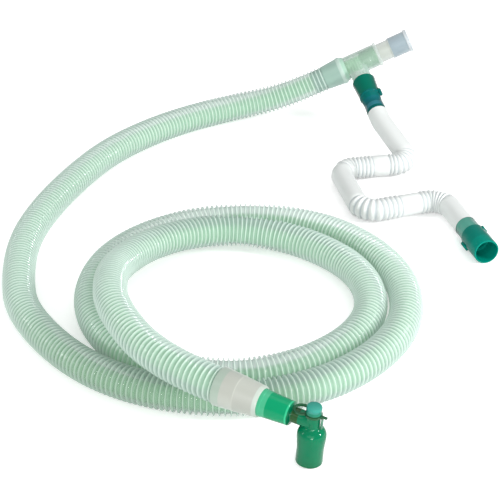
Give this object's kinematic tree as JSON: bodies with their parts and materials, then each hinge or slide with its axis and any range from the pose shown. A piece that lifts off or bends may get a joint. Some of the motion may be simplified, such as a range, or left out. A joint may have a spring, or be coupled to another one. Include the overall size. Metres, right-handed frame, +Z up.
{
  "type": "breathing hose",
  "caption": "Coaxial corrugated breathing hose laid in loops, with a side-port tee, a flexible limb, a patient cuff and a capped sampling elbow.",
  "frame": {"origin": "middle of the laid-out hose, on the surface that it lies on", "axes": "+Z up, +Y away from the patient elbow towards the machine end, +X towards the side of the machine inlet and the limb"},
  "size_m": [0.4772, 0.7025, 0.1004],
  "materials": {
    "clear_hose": "clear, faintly green, glossy ridges",
    "green_hose": "translucent green",
    "pale_cuff": "soft, translucent, satin",
    "clear_plastic": "clear, glossy",
    "teal_plastic": "translucent teal, satin",
    "white_limb": "white, satin",
    "off_white_cuff": "soft, off-white, satin",
    "emerald_plastic": "transparent emerald, glossy",
    "teal_cap": "soft, translucent teal, satin"
  },
  "bodies": {
    "root": {"outer_hose": "clear_hose", "inner_hose": "green_hose", "machine_cuff": "pale_cuff", "tee_manifold": "clear_plastic", "inner_hose_sleeve": "green_hose", "inlet_connector": "clear_plastic", "limb_adapter": "teal_plastic", "limb_hose": "white_limb", "limb_end_connector": "teal_plastic", "patient_cuff": "off_white_cuff", "patient_connector": "emerald_plastic", "elbow": "emerald_plastic", "port_cap": "teal_cap"}
  },
  "joints": []
}
